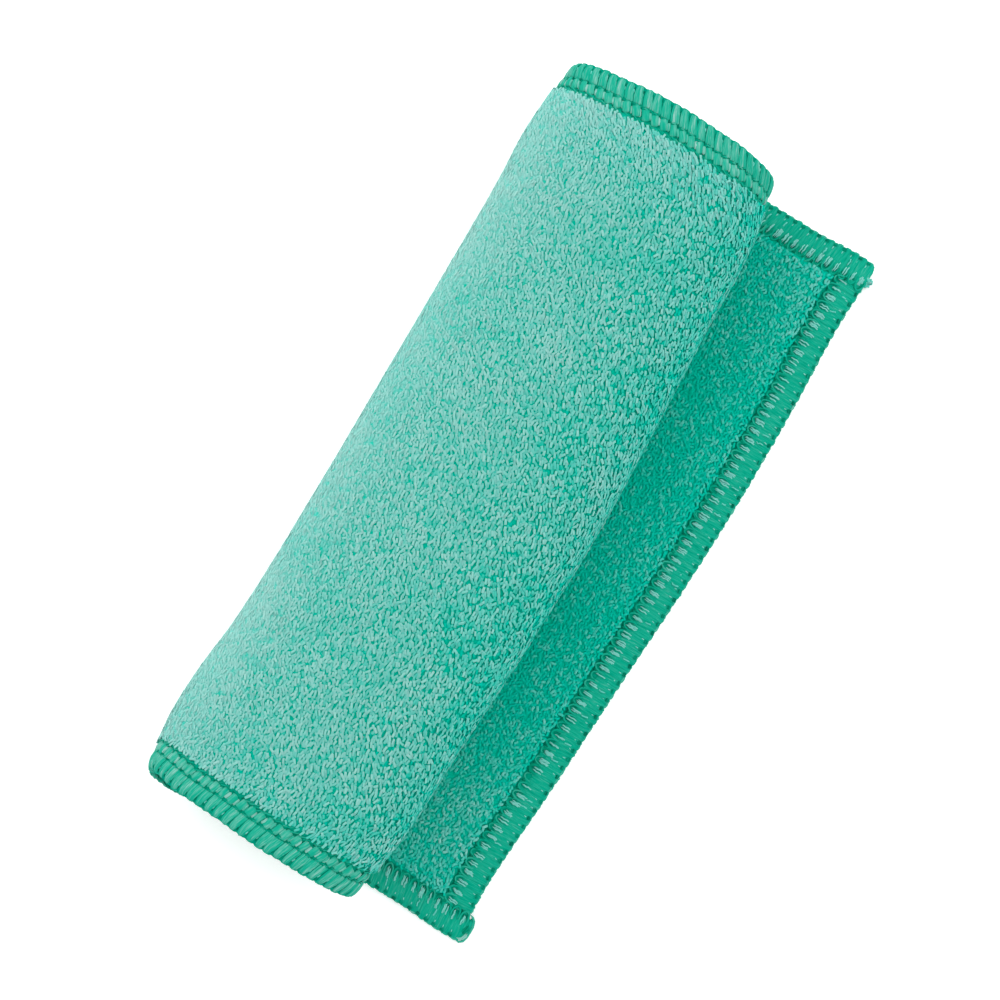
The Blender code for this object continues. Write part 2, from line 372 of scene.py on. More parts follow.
def carry_ring(paths, side, wide, tall, sides, phase=0.5, soft=SOFT_NORMALS, towards=None):
    """Rings carried along paths: paths and side are (count, steps, 3), wide and tall (count, steps).

    A ring point is centre + wide * cos(a) * b + tall * sin(a) * u, where b is `side` made square
    to the path and u is square to both. The first and last point of a path are the closing tips.
    A normal is the ring's own, and leans by the share soft to `towards`, which is u if not given.
    Returns points, normals, triangles, quads, and for each point its step and its place round the ring.
    """
    count, steps = paths.shape[:2]
    run = np.gradient(paths, axis=1)
    run /= np.linalg.norm(run, axis=2, keepdims=True) + 1e-12
    b = side - (side * run).sum(axis=2, keepdims=True) * run
    b /= np.linalg.norm(b, axis=2, keepdims=True) + 1e-12
    u = np.cross(run, b)
    around = ((np.arange(sides) + phase) / sides) % 1.0    # 0 below, 0.5 on top
    a = around * 2 * np.pi - np.pi / 2
    inner = slice(1, steps - 1)
    sideways = np.cos(a)[:, None] * b[:, inner, None]
    upwards = np.sin(a)[:, None] * u[:, inner, None]
    ring = wide[:, inner, None, None] * sideways
    ring = paths[:, inner, None] + ring + tall[:, inner, None, None] * upwards
    towards = u if towards is None else towards
    leaning = (sideways + upwards) * (1 - soft) + TOP_LEADS * soft * towards[:, inner, None]
    rings = steps - 2
    per_path = rings * sides + 2
    points = np.concatenate([ring.reshape(count, -1, 3), paths[:, :1], paths[:, -1:]], axis=1)
    normals = np.concatenate([leaning.reshape(count, -1, 3), u[:, :1], u[:, -1:]], axis=1)
    ids = np.arange(rings * sides).reshape(rings, sides)
    after = np.roll(ids, -1, axis=1)
    quads = np.stack([ids[:-1], after[:-1], after[1:], ids[1:]], axis=-1).reshape(-1, 4)
    first = np.stack([np.full(sides, per_path - 2), after[0], ids[0]], axis=-1)
    last = np.stack([np.full(sides, per_path - 1), ids[-1], after[-1]], axis=-1)
    base = (np.arange(count) * per_path)[:, None, None]
    triangles = np.concatenate([first, last]) + base
    step_of = np.concatenate([np.repeat(np.arange(1, steps - 1), sides), [0, steps - 1]])
    round_of = np.concatenate([np.tile(around, rings), [0.5, 0.5]])
    return (points.reshape(-1, 3), normals.reshape(-1, 3), triangles.reshape(-1, 3),
            (quads + base).reshape(-1, 4), step_of, round_of)


# %% [markdown]
# ## Finishes
#
# The yarn is split polyester and polyamide, dyed mint green. Its fibres are finer than silk, so
# the worn tips of the loops scatter nearly white light, while light that has gone in between the
# loops has met the dye many times and comes out a deep green. Both are painted by how high on
# its loop a point lies: a painted highlight on the tops and painted shade deep in the pile. The
# seam's thread is a textured polyester: the same green, smoother, with a soft satin shine along
# its length. That shine is painted as pale streaks, which are partly its fibres, and its top has a
# painted highlight.

# %% Colours and helpers for node trees
# The yarn's stops run from painted shade deep in the pile to the painted highlight on the tops.
YARN_STOPS = ((0.00, "#00b89b"), (0.28, "#05bca3"), (0.50, "#4cc3b2"), (0.74, "#80cabf"), (1.00, "#96cfc5"))
# The thread's darkest stops are painted shade: the dots in holes, the strand under the looper and the stub's
# hollow.
THREAD_STOPS = ((0.00, "#005a47"), (0.22, "#008467"), (0.45, "#009f82"), (0.66, "#1fa68b"),
                (0.85, "#56b29d"), (1.00, "#88beb3"))
KNIT_STOPS = ((0.2, "#008f74"), (0.8, "#00a084"))    # the plain knit under the seam
FLOOR_WHITE = "#fdfdfd"


def linear(hex_colour):
    """sRGB hex to linear light: c/12.92 in the dark, ((c+0.055)/1.055)^2.4 above."""
    c = np.array([int(hex_colour[k:k + 2], 16) for k in (1, 3, 5)]) / 255
    c = np.where(c <= 0.04045, c / 12.92, ((c + 0.055) / 1.055) ** 2.4)
    return (*c.tolist(), 1.0)


def fill(tree, node, sockets):
    """Fills a node's sockets, by name or number: another node's output is linked, a value is set."""
    for socket, value in sockets.items():
        if isinstance(value, bpy.types.NodeSocket):
            tree.links.new(value, node.inputs[socket])
        else:
            node.inputs[socket].default_value = value


def add(tree, kind, sockets=None, stops=(), **settings):
    """Adds a node with its settings and filled sockets, and a colour ramp's (position, colour) stops."""
    node = tree.nodes.new(kind)
    for key, value in settings.items():
        setattr(node, key, value)
    fill(tree, node, sockets or {})
    if stops:
        for element, (position, colour) in zip(node.color_ramp.elements, (stops[0], stops[-1])):
            element.position = position
            element.color = linear(colour)
        for position, colour in stops[1:-1]:
            node.color_ramp.elements.new(position).color = linear(colour)
    return node


def weighted(tree, start, parts):
    """A sum in the node tree: start plus each part's value times its weight."""
    for value, weight in parts:
        step = add(tree, "ShaderNodeMath", {0: value, 1: weight, 2: start}, operation="MULTIPLY_ADD")
        start = step.outputs[0]
    return start


def new_material(name):
    """An empty node material, with its tree and its Principled shader."""
    material = bpy.data.materials.new(name)
    material.use_nodes = True
    return material, material.node_tree, material.node_tree.nodes["Principled BSDF"]


print("palest yarn in linear light:", np.round(linear(YARN_STOPS[-1][1])[:3], 2))

# %% Terry yarn, knitted ground and overlock thread
YARN_SURFACE = {
    "Roughness": 0.95,
    "Specular IOR Level": 0.0,                # split fibres scatter all light; none mirrors
    "Subsurface Weight": 0.50,                # share of light that passes through the fine fibres
    "Subsurface Radius": (1.0, 1.0, 1.0),
    "Subsurface Scale": 0.45 * MM,
}
THREAD_SURFACE = {"Roughness": 0.6, "Specular IOR Level": 0.02}
RUBBED_AND_LIT_WEIGHT = 0.40              # how far up the stops a place moves when fully rubbed or fully painted lit
FUZZ_PER_METRE = 1400             # the fuzz of single fibres, drawn 0.7 mm coarse so that it shows
CURL_WEIGHT = 1.2                 # how far the ground's pattern of curls reaches over the stops
CURL_MIDDLE = 0.58                # and what is taken off it, so that its middle lies at the lift
STREAKS = (0.4, 9.0, 50.0)        # a thread's streaks, partly its fibres and partly a painted satin sheen: long along it, nine round it, its own on each
STREAK_LIFT = 0.05
STREAK_WEIGHT = 0.85
TOP_WEIGHT = 0.25                 # how much paler a thread's top is painted than its underside: painted light
SINGLE_WEIGHT = 0.22              # and how much one thread differs from the next


def terry_yarn(name, lift, height_weight):
    """Matt looped yarn: paler the higher a place lies in the pile (a painted highlight on top and painted
    shade below), and the more rubbed and painted lit it is.
    """
    material, tree, shader = new_material(name)
    tip, rubbed_and_lit = (add(tree, "ShaderNodeAttribute", attribute_name=key).outputs["Fac"]
                   for key in ("tip", "rubbed_and_lit"))
    place = add(tree, "ShaderNodeTexCoord").outputs["Object"]
    fuzz = add(tree, "ShaderNodeTexNoise", {"Vector": place, "Scale": FUZZ_PER_METRE, "Detail": 3.0})
    fuzz = fuzz.outputs["Fac"]
    tone = weighted(tree, lift, ((tip, height_weight), (rubbed_and_lit, RUBBED_AND_LIT_WEIGHT)))
    colour = add(tree, "ShaderNodeValToRGB", {"Fac": tone}, YARN_STOPS)
    bump = add(tree, "ShaderNodeBump", {"Height": fuzz, "Strength": 0.25, "Distance": 0.08 * MM})
    fill(tree, shader, {"Base Color": colour.outputs["Color"], "Normal": bump.outputs["Normal"]})
    fill(tree, shader, YARN_SURFACE)
    return material


def overlock_thread():
    """Textured polyester thread: satin, with fine streaks along its length (its fibres and a painted sheen),
    and a painted highlight on its top.
    """
    material, tree, shader = new_material("textured polyester overlock thread")
    length, round_it, shade, tip = (add(tree, "ShaderNodeAttribute", attribute_name=key).outputs["Fac"]
                                    for key in ("length", "round", "shade", "tip"))
    place = add(tree, "ShaderNodeCombineXYZ", {"X": length, "Y": round_it, "Z": shade})
    place = add(tree, "ShaderNodeMapping", {"Vector": place.outputs["Vector"], "Scale": STREAKS})
    place = place.outputs["Vector"]
    streak = add(tree, "ShaderNodeTexNoise", {"Vector": place, "Scale": 1.0, "Detail": 2.0})
    streak = streak.outputs["Fac"]
    tone = weighted(tree, STREAK_LIFT, ((streak, STREAK_WEIGHT), (tip, TOP_WEIGHT), (shade, SINGLE_WEIGHT)))
    colour = add(tree, "ShaderNodeValToRGB", {"Fac": tone}, THREAD_STOPS)
    bump = add(tree, "ShaderNodeBump", {"Height": streak, "Strength": 0.6, "Distance": 0.12 * MM})
    fill(tree, shader, {"Base Color": colour.outputs["Color"], "Normal": bump.outputs["Normal"]})
    fill(tree, shader, THREAD_SURFACE)
    return material


def knitted_ground(name, lift):
    """Loops that stand lower than the drawn ones, as a curly pattern and bump; plain knit under the seam."""
    material, tree, shader = new_material(name)
    along, across, rubbed_and_lit, pile = (add(tree, "ShaderNodeAttribute", attribute_name=key).outputs["Fac"]
                                   for key in ("along", "across", "rubbed_and_lit", "pile"))
    place = add(tree, "ShaderNodeCombineXYZ", {"X": along, "Y": across}).outputs["Vector"]
    curls = add(tree, "ShaderNodeTexNoise",
                {"Vector": place, "Scale": 0.85, "Detail": 2.0, "Distortion": 1.2})
    curls = curls.outputs["Fac"]
    tone = weighted(tree, lift - CURL_MIDDLE, ((curls, CURL_WEIGHT), (rubbed_and_lit, RUBBED_AND_LIT_WEIGHT)))
    loops = add(tree, "ShaderNodeValToRGB", {"Fac": tone}, YARN_STOPS).outputs["Color"]
    knit = add(tree, "ShaderNodeValToRGB", {"Fac": curls}, KNIT_STOPS).outputs["Color"]
    colour = add(tree, "ShaderNodeMix", {"Factor": pile, 6: knit, 7: loops}, data_type="RGBA")
    bump = add(tree, "ShaderNodeBump", {"Height": curls, "Strength": 0.5, "Distance": 0.5 * MM})
    fill(tree, shader, {"Base Color": colour.outputs[2], "Normal": bump.outputs["Normal"]})
    fill(tree, shader, YARN_SURFACE)
    return material


LIFT_OUTER = -0.16                # the tone of a loop's foot where nothing is rubbed or painted lit; the outer face is paler
LIFT_INNER = -0.61
LIFT_INNER_GROUND = LIFT_INNER + 0.23
HEIGHT_OUTER = 0.76               # how much paler the top of a loop is painted than its foot: painted highlight on top, painted shade below
HEIGHT_INNER = 0.96
terry_outer = terry_yarn("terry yarn, outer face", LIFT_OUTER, HEIGHT_OUTER)
terry_inner = terry_yarn("terry yarn, inner face", LIFT_INNER, HEIGHT_INNER)
thread = overlock_thread()
ground_outer = knitted_ground("knit under the loops, outer face", LIFT_OUTER)
ground_inner = knitted_ground("knit under the loops, inner face", LIFT_INNER_GROUND)
print("finishes:", [m.name for m in (terry_outer, terry_inner, thread, ground_outer, ground_inner)])

# %% [markdown]
# ## How worn the cloth is
#
# Use presses the loops flat, most on the roll's left and least on its right, and rubs them pale
# in soft random patches. The outer face is also painted paler the more it faces left, towards the
# key light, which is painted light. So each place has a share of rubbing and painted light, and on
# the outer face a share of pressing. The ground and the loops both read them.

# %% Rubbed, painted-light and pressed places
MOTTLE = ((14.0, 0.16), (5.0, 0.10))    # size of a patch in mm, and how much paler or greener it is
MOTTLE_INNER = 0.6                # the share of a patch's strength that shows on the inner face
NOISE_MARGIN = 5.0                # mm of random squares past each edge
NOISE_SPARE = 4                   # and squares to spare there
PAINTED_LIGHT_LEFT = (-1.4, 1.0)         # outer face, painted light: from least to most, by how far the cloth faces left, towards the key light
PALER_NEAR_RIGHT = 0.30          # paler at the near end, where it faces right
NEAR_END = (-0.068, -0.092)
FACING_RIGHT = (0.1, 0.8)
PALE_INNER = 0.33               # how pale the inner face is, and what its free edge, near side and far side add
PALER_FREE_EDGE = (0.15, 0.025, 0.012)
PALER_SIDES = ((0.42, -0.03, -0.085), (0.25, 0.045, 0.085))
PRESSED_LEFT = (-0.35, 0.9)       # pressed flat, by how far the cloth faces left
RAISED = 0.2                      # and a little raised where it faces right
RAISED_RIGHT = (0.0, 0.7)


def smooth_noise(along, across, size, seed):
    """Random values from -1 to 1 on squares of a size in mm, blended smoothly between the corners."""
    reach = np.array([CLOTH_LENGTH, CLOTH_WIDTH]) / MM + 2 * NOISE_MARGIN
    squares = ((reach + 2 * NOISE_MARGIN) / size).astype(int) + NOISE_SPARE
    values = np.random.default_rng(seed).uniform(-1.0, 1.0, tuple(squares))
    i = np.clip(along / MM + NOISE_MARGIN, 0.0, reach[0]) / size
    j = np.clip(across / MM + reach[1] / 2, 0.0, reach[1]) / size
    i0 = i.astype(int)
    j0 = j.astype(int)
    return between(values, i0, j0, smooth_step(0.0, 1.0, i - i0), smooth_step(0.0, 1.0, j - j0))


def facing_right(along, across):
    """How far the outer face turns to the right: the x of its normal, from -1 to 1."""
    return on_cloth(along, across, np.zeros_like(along))[1][..., 0]


def rubbed_and_lit_share(along, across, face):
    """How rubbed and painted lit the pile is: on the outer face most where it faces left, as painted light,
    and least on its right; in soft random patches.
    """
    normal_x = facing_right(along, across)
    if face > 0:
        near_right = smooth_step(*NEAR_END, across) * smooth_step(*FACING_RIGHT, normal_x)
        share = smooth_step(*PAINTED_LIGHT_LEFT, -normal_x) + PALER_NEAR_RIGHT * near_right
    else:
        amount, low, high = PALER_FREE_EDGE
        share = PALE_INNER + amount * smooth_step(low, high, along)
        for amount, low, high in PALER_SIDES:
            share = share + amount * smooth_step(low, high, across)
    for number, (size, amount) in enumerate(MOTTLE):
        amount = amount if face > 0 else MOTTLE_INNER * amount
        share = share + amount * smooth_noise(along, across, size, 3 + number)
    return share


def pressed_share(along, across):
    """How flat the pile is pressed on the outer face: 1 where it faces left, -0.2 where it faces right."""
    normal_x = facing_right(along, across)
    return smooth_step(*PRESSED_LEFT, -normal_x) - RAISED * smooth_step(*RAISED_RIGHT, normal_x)


around_roll = np.array([0.02, 0.08, 0.12, 0.16])
print("rubbed on the loose end:", np.round(rubbed_and_lit_share(around_roll[:1], np.zeros(1), -1), 2))
print("rubbed on the roll's left, top, right:", np.round(rubbed_and_lit_share(around_roll[1:], np.zeros(3), 1), 2))

# %% [markdown]
# ## The knitted ground
#
# Under the loops lies the knit, with the lower parts of the loops. It is one closed sheet that
# follows the winding from the loose end to the core. It could be a solidified surface, but two
# faces offset from the same middle stay closed and even at the rim, so both are taken from the
# grid.

# %% The ground sheet
GROUND_HALF = 1.34 * MM           # the knit and the lower parts of the loops on one face
GROUND_HALF_HEM = 0.7 * MM        # pressed thinner under the seam
GROUND_PRESSED = 0.40 * MM        # thicker by this where loops are pressed together and leave no gaps
GROUND_INNER = 0.06 * MM          # and by this on the whole inner face
GROUND_INSET = 0.15 * MM          # the ground ends this far in from the cloth's edge, under the seam
GROUND_FADE = (-0.2 * MM, 0.9 * MM)    # from hem to pile, counted from the hem's inner side
GROUND_BUNCH = 0.28               # how strongly the steps across crowd towards the hems
GROUND_STEPS_ALONG = 205
GROUND_STEPS_ACROSS = 78
PRESSED_PAINTED_LIGHT = 1.05                # where loops are pressed together, on the left, the ground is painted paler as well: painted light


def ground_sheet():
    """Two offset grids joined round their border; the steps along follow the grid's even length."""
    along = np.linspace(GROUND_INSET, CLOTH_LENGTH - GROUND_INSET, GROUND_STEPS_ALONG)
    even = np.linspace(-1, 1, GROUND_STEPS_ACROSS)
    across = even * (1 + GROUND_BUNCH * (1 - even**2)) * (CLOTH_WIDTH / 2 - GROUND_INSET)
    a, c = np.meshgrid(along, across, indexing="ij")
    inset = np.minimum(np.minimum(a, CLOTH_LENGTH - a), CLOTH_WIDTH / 2 - np.abs(c))
    pile = smooth_step(BAND_WIDTH + GROUND_FADE[0], BAND_WIDTH + GROUND_FADE[1], inset)
    half = GROUND_HALF_HEM + (GROUND_HALF - GROUND_HALF_HEM) * pile
    pressed = pile * pressed_share(a, c)
    heights = (half + pressed * GROUND_PRESSED, -half - pile * GROUND_INNER)
    points = np.concatenate([on_cloth(a, c, height)[0].reshape(-1, 3) for height in heights])
    number = np.arange(a.size).reshape(a.shape)
    cells = [number[:-1, :-1], number[1:, :-1], number[1:, 1:], number[:-1, 1:]]
    outer = np.stack(cells, axis=-1).reshape(-1, 4)
    inner = outer[:, ::-1] + a.size
    border = np.concatenate([number[:-1, 0], number[-1, :-1], number[:0:-1, -1], number[0, :0:-1]])
    onward = np.roll(border, -1)
    rim = np.stack([border + a.size, onward + a.size, onward, border], axis=-1)
    slots = np.repeat([0, 1, 0], [len(outer), len(inner), len(rim)])
    rubbed_and_lit = (rubbed_and_lit_share(a, c, 1) + PRESSED_PAINTED_LIGHT * pressed, rubbed_and_lit_share(a, c, -1))
    attributes = {"along": (a / MM,) * 2, "across": (c / MM,) * 2, "pile": (pile,) * 2, "rubbed_and_lit": rubbed_and_lit}
    return new_piece("cloth_ground", points, [np.concatenate([outer, inner, rim])],
                     [ground_outer, ground_inner], attributes, slots)


ground = ground_sheet()
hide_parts("cloth")

# %% [markdown]
# ## The pile
#
# A terry loop is an arch of yarn that stands on two legs. From above only its top shows, as a
# short curved stroke, and neighbouring loops lean together in clumps with partings between
# them. On the roll the loops are pressed, and each is four points of a path: foot, shoulder,
# shoulder, foot. On the loose end they are freer, and a fifth point curls the top. Hair could
# draw them too, but has no mesh to hand on. Loops are set on a shaken grid, lean towards the
# middle of the clump they are in, and are made all at once.

# %% Where the loops stand and how they lean
LOOP_PITCH_ALONG = 0.72 * MM
LOOP_PITCH_ACROSS = 0.92 * MM
LOOP_SHAKE = 0.24                 # of the pitch
LOOP_SIDES = 3
# Each row of a loop: its share of the span, of the height and of the bow.
LOOP_ROWS = ((-0.5, 0, -0.5), (-0.33, 0.95, 0.5), (0.33, 1, 0.5), (0.5, 0, -0.5))
CURL_ROWS = ((-0.5, 0, -0.7), (-0.33, 0.93, 0), (0, 1, 0.5), (0.33, 0.93, 0), (0.5, 0, -0.7))
LOOP_SPAN = (1.20 * MM, 1.95 * MM)
LOOP_BOW = 0.50 * MM
LOOP_RADIUS = (0.29 * MM, 0.37 * MM)
LOOP_FLAT = 0.75                  # the yarn's height, as a share of its width
LOOP_TOP = 1.74 * MM              # the middle of the yarn at a loop's top
LOOP_FOOT = 0.80 * MM
TOP_SPREAD = 0.07                 # mm that the tops differ in height, and the most below and above
TOP_LIMITS = (-0.15, 0.12)
PRESSED_EVEN = 0.5                # pressing takes this share of the difference away
RUBBED_SPREAD = 0.15              # one loop is more or less rubbed than the next by up to this
CLUMP_SIZE = 2.9 * MM
CLUMP_LONG = 0.42                 # clumps are longer round the roll than along it
CLUMP_TURN = np.radians(20)       # and their long way is turned a little off it
CLUMPS_SPARE = 6                  # squares more than the cloth has, so that its edges have neighbours
PARTING_WIDE = 0.7 * MM
PARTING_BESIDE = (0.15, 0.75)     # a parting opens as two clumps come to lie beside each other
PARTING_DEPTH = 0.30 * MM
PARTING_PUSH = 0.45 * MM          # loops stand this far back from a parting
PARTING_SHORT = 0.15              # are this share shorter there
PARTING_SHADE = 0.6                # and this much darker there: painted shade in the parting
PARTING_SPREAD = (0.3, 1.0)       # the least and most of a parting that one loop takes part in


def shaken_grid(random, coarse, along_from, along_to, across_from, across_to):
    """Spots on a brick-laid grid, each moved by up to a quarter of the pitch; coarse widens the pitch."""
    rows = int((along_to - along_from) / (LOOP_PITCH_ALONG * coarse))
    columns = int((across_to - across_from) / (LOOP_PITCH_ACROSS * coarse))
    r, c = np.meshgrid(np.arange(rows), np.arange(columns), indexing="ij")
    shake = random.uniform(-LOOP_SHAKE, LOOP_SHAKE, (2,) + r.shape)
    along = along_from + (r + 0.5 + shake[0]) * (along_to - along_from) / rows
    across = across_from + (c + 0.25 + 0.5 * (r % 2) + shake[1]) * (across_to - across_from) / columns
    return along.ravel(), across.ravel()


def clump_centre(along, across, seed):
    """The middle of a spot's clump, how near a parting the spot is (0 to 1), and the way back from it.

    Each square of CLUMP_SIZE holds one shaken point. A spot belongs to the nearest, measured short
    along CLUMP_TURN, and a parting lies where the second nearest is almost as near. It is deep where
    the two points lie beside each other, and shallow where they follow each other along CLUMP_TURN.
    """
    squares = (int(CLOTH_LENGTH / CLUMP_SIZE) + CLUMPS_SPARE, int(CLOTH_WIDTH / CLUMP_SIZE) + CLUMPS_SPARE)
    shake = np.random.default_rng(seed).uniform(0.0, 1.0, squares + (2,))
    i = np.floor(along / CLUMP_SIZE).astype(int)
    j = np.floor((across + CLOTH_WIDTH / 2) / CLUMP_SIZE).astype(int)
    found = []
    for di in (-2, -1, 0, 1, 2):
        for dj in (-1, 0, 1):
            moved = shake[np.clip(i + di, 0, squares[0] - 1), np.clip(j + dj, 0, squares[1] - 1)]
            point = (np.stack([i + di, j + dj], axis=-1) + moved) * CLUMP_SIZE
            point[:, 1] -= CLOTH_WIDTH / 2
            found.append(point)
    found = np.array(found)
    off = found - np.stack([along, across], axis=-1)
    long_way = off[..., 0] * np.cos(CLUMP_TURN) + off[..., 1] * np.sin(CLUMP_TURN)
    short_way = off[..., 1] * np.cos(CLUMP_TURN) - off[..., 0] * np.sin(CLUMP_TURN)
    away = np.hypot(long_way * CLUMP_LONG, short_way)
    first, second = np.argsort(away, axis=0)[:2]
    spot = np.arange(len(along))
    gap = away[second, spot] - away[first, spot]
    beside = np.abs(short_way[second, spot] - short_way[first, spot])
    follow = CLUMP_LONG * np.abs(long_way[second, spot] - long_way[first, spot])
    sideways = beside / (beside + follow + 1e-9)
    parting = smooth_step(PARTING_WIDE, 0.0, gap) * smooth_step(*PARTING_BESIDE, sideways)
    back = np.sign(short_way[first, spot]) * parting
    return found[first, spot], parting, back[:, None] * np.array([-np.sin(CLUMP_TURN), np.cos(CLUMP_TURN)])


print("loops to a square centimetre:", round((10 * MM) ** 2 / (LOOP_PITCH_ALONG * LOOP_PITCH_ACROSS)))


def stand_loops(name, seed, face, spots, lean, way, size=1.0, parted=0.6, soft=SOFT_NORMALS, shape=LOOP_ROWS):
    """Arches of yarn at cloth spots on one face (+1 outer, -1 inner), as one mesh.

    A path point is the spot + span along the loop's direction + bow across it + the lean towards
    the clump's middle, each times its share in shape's rows, at its share of the loop's height.
    way holds the direction and its spread, and parted is how strongly partings show.
    """
    random = np.random.default_rng(seed)
    along, across = spots
    count = len(along)
    centre, parting, back = clump_centre(along, across, seed + 1)
    pull = (centre - np.stack([along, across], axis=-1)) * lean + back * PARTING_PUSH * parted
    angle = way[0] + way[1] * random.standard_normal(count)
    span = random.uniform(*LOOP_SPAN, count) * size * (1 - PARTING_SHORT * parting * parted)
    bow = random.uniform(-LOOP_BOW, LOOP_BOW, count) * size
    radius = random.uniform(*LOOP_RADIUS, count) * size
    parting = parting * parted * random.uniform(*PARTING_SPREAD, count)
    uneven = 1 - PRESSED_EVEN * pressed_share(along, across) * (face > 0)
    top = random.normal(0.0, TOP_SPREAD, count).clip(*TOP_LIMITS) * uneven * MM
    top = LOOP_TOP + top - parting * PARTING_DEPTH
    rows = np.array(shape)
    step = rows[:, 0] * span[:, None]
    side = rows[:, 2] * bow[:, None]
    rise = rows[:, 1]
    sine = np.sin(angle)[:, None]
    cosine = np.cos(angle)[:, None]
    a = along[:, None] + step * sine + side * cosine + pull[:, :1] * rise
    c = across[:, None] + step * cosine - side * sine + pull[:, 1:] * rise
    height = LOOP_FOOT + (top[:, None] - LOOP_FOOT) * rise
    paths, up = on_cloth(a, c, face * height)
    chord = paths[:, -1:] - paths[:, :1]
    thick = np.repeat(radius[:, None], len(rows), axis=1)
    points, normals, triangles, quads, step_of, round_of = carry_ring(
        paths, np.cross(up * face, chord), thick, thick * LOOP_FLAT, LOOP_SIDES, phase=1.0, soft=soft,
        towards=up * face)
    # tip is how high a point lies in the pile; the yarn paints a highlight on the tops and shade deep down by
    # it
    above_path = LOOP_FLAT * radius[:, None] * np.sin(round_of * 2 * np.pi - np.pi / 2)
    above_ground = height[:, step_of] + above_path - GROUND_HALF
    tip = np.clip(above_ground / (PILE_THICKNESS / 2 - GROUND_HALF), 0.0, 1.0)
    # paler where rubbed and where painted light falls, less so in a parting
    rubbed_and_lit = rubbed_and_lit_share(along, across, face) + random.uniform(-RUBBED_SPREAD, RUBBED_SPREAD, count)
    rubbed_and_lit = np.repeat((rubbed_and_lit - PARTING_SHADE * parting)[:, None], tip.shape[1], axis=1)
    yarn = terry_outer if face > 0 else terry_inner
    attributes = {"tip": tip, "rubbed_and_lit": rubbed_and_lit}
    return new_piece(name, points, [triangles, quads], [yarn], attributes, normals=normals)


# %% The pieces of pile in view
FIELD = BAND_WIDTH + 0.35 * MM    # the pile begins this far in from each edge
SIDE = CLOTH_WIDTH / 2 - FIELD
ROLL_BEGINS = 0.058               # metres from the loose end
LEFT_ENDS = 0.100
TOP_ENDS = 0.142
RIGHT_ENDS = 0.186
LOOSE_PILE_END = 0.038            # the loose end's own pile ends here, out of sight under the roll
WAY_OUTER = np.radians((-16, 24))
WAY_LOOSE_END = np.radians((4, 34))

seams = np.array([ROLL_BEGINS, LEFT_ENDS, TOP_ENDS, RIGHT_ENDS])
print("turns at the pile's seams:", np.round(read_grid(grid_turn, seams, np.zeros(4)), 2))
for number, (name, start, end, lean, parted, coarse, soft) in enumerate((
        ("pile_roll_left", ROLL_BEGINS, LEFT_ENDS, 0.02, 0.1, 0.89, 0.85),
        ("pile_roll_top", LEFT_ENDS, TOP_ENDS, 0.04, 0.5, 0.96, 0.70),
        ("pile_roll_right", TOP_ENDS, RIGHT_ENDS, 0.06, 1.0, 1.02, 0.60))):
    spots = shaken_grid(np.random.default_rng(10 + number), coarse, start, end, -SIDE, SIDE)
    stand_loops(name, 20 + number, +1, spots, lean, WAY_OUTER, coarse, parted, soft)

spots = shaken_grid(np.random.default_rng(14), 1.06, FIELD, LOOSE_PILE_END, -SIDE, SIDE)
loose_end = stand_loops("pile_loose_end", 24, -1, spots, 0.08, WAY_LOOSE_END, soft=0.6, shape=CURL_ROWS)

# %% [markdown]
# The faces that lie on the table, and the inner turns behind the roll's open ends, are seldom
# seen. Their loops stand on a coarser grid, and the ground's own curly pattern fills the gaps.

# %% Pile on the underside and in the open ends
SEAM_OUTER_END = 0.215            # past the outermost turn; pile and seam are drawn in full up to here
END_DEPTH = 0.007                 # how far in from each hem the inner turns are dressed
WAY_INNER_TURNS = np.radians((20, 50))


def both_ends(seed, coarse, along_from):
    """Spots in a strip behind the hem at each end of the roll, from along_from to the core."""
    random = np.random.default_rng(seed)
    near = shaken_grid(random, coarse, along_from, CLOTH_LENGTH - FIELD, -SIDE, END_DEPTH - SIDE)
    far = shaken_grid(random, coarse, along_from, CLOTH_LENGTH - FIELD, SIDE - END_DEPTH, SIDE)
    return np.concatenate([near[0], far[0]]), np.concatenate([near[1], far[1]])


for number, (name, start, end) in enumerate((
        ("pile_underside_loose_end", FIELD, ROLL_BEGINS),
        ("pile_underside_roll", RIGHT_ENDS, SEAM_OUTER_END))):
    spots = shaken_grid(np.random.default_rng(40 + number), 2.1, start, end, -SIDE, SIDE)
    stand_loops(name, 44 + number, +1, spots, 0.12, WAY_OUTER, size=1.4)
for name, seed, face, spots, way in (
        ("pile_inner_turns_out", 50, +1, both_ends(51, 1.6, SEAM_OUTER_END), WAY_OUTER),
        ("pile_inner_turns_in", 54, -1, both_ends(55, 1.7, LOOSE_PILE_END), WAY_INNER_TURNS)):
    stand_loops(name, seed, face, spots, 0.1, way, size=1.2)

# %% [markdown]
# ## The overlock seam
#
# An overlock machine wraps threads round the cut edge and locks them with two rows of needle
# stitches. On the outer face the thread lies in ribs of four strands, one rib a stitch, then in
# a row of short square bumps with a pale speck beside each, then comes the inner needle row.
# On the inner face six flat strands lie side by side in each stitch, a looper thread bows round
# their inner ends as a U with a dark strand of painted shade below it, and tufts of the pile peep
# through the U. Dark dots are painted shade in the holes between threads, and beads are the
# thread's turns at the rim. A stitch is a few short paths in the edge's own coordinates: u along
# the edge, v in from it and n up from the middle of the cloth, in millimetres. All stitches of an
# edge are then laid at once.

# %% One stitch as paths
STITCH = 2.55                     # mm, the length of one stitch
RIB_TAIL = 0.55                   # at the rim the strands of a rib keep this share of their spread
RIB_SPREADS = (0.2, 2.6)          # and between these distances from it, in mm, they reach all of it
